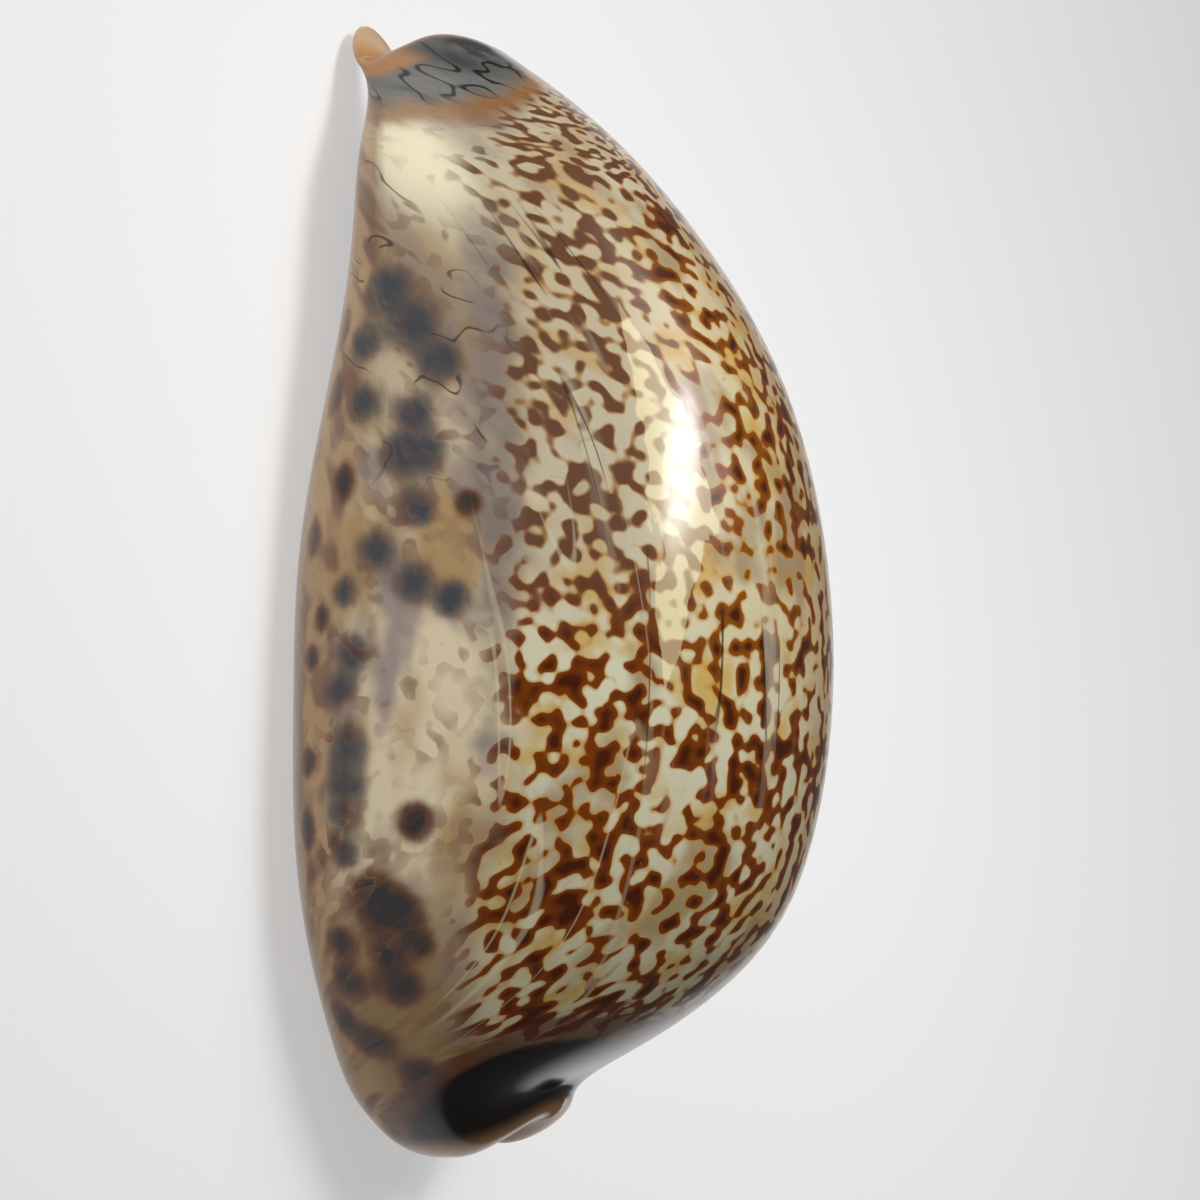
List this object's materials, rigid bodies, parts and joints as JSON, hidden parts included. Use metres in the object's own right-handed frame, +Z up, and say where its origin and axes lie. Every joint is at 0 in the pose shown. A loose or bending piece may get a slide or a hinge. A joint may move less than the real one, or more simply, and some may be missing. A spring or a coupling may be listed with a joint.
{
  "type": "cowrie shell",
  "caption": "Glossy domed cowrie shell with a long narrow toothed aperture underneath and a notched canal at each end.",
  "frame": {"origin": "centre of the bounding box at its bottom, where the base rests", "axes": "+X from the posterior (spire) end to the anterior end, -Y towards the outer (labral) lip, +Z up through the dome"},
  "size_m": [0.07, 0.037, 0.03],
  "materials": {
    "shell": "polished aragonite, cream with a net of brown lines on the dome and spotted fawn margins"
  },
  "bodies": {
    "root": {"cowrie_shell": "shell"}
  },
  "joints": []
}
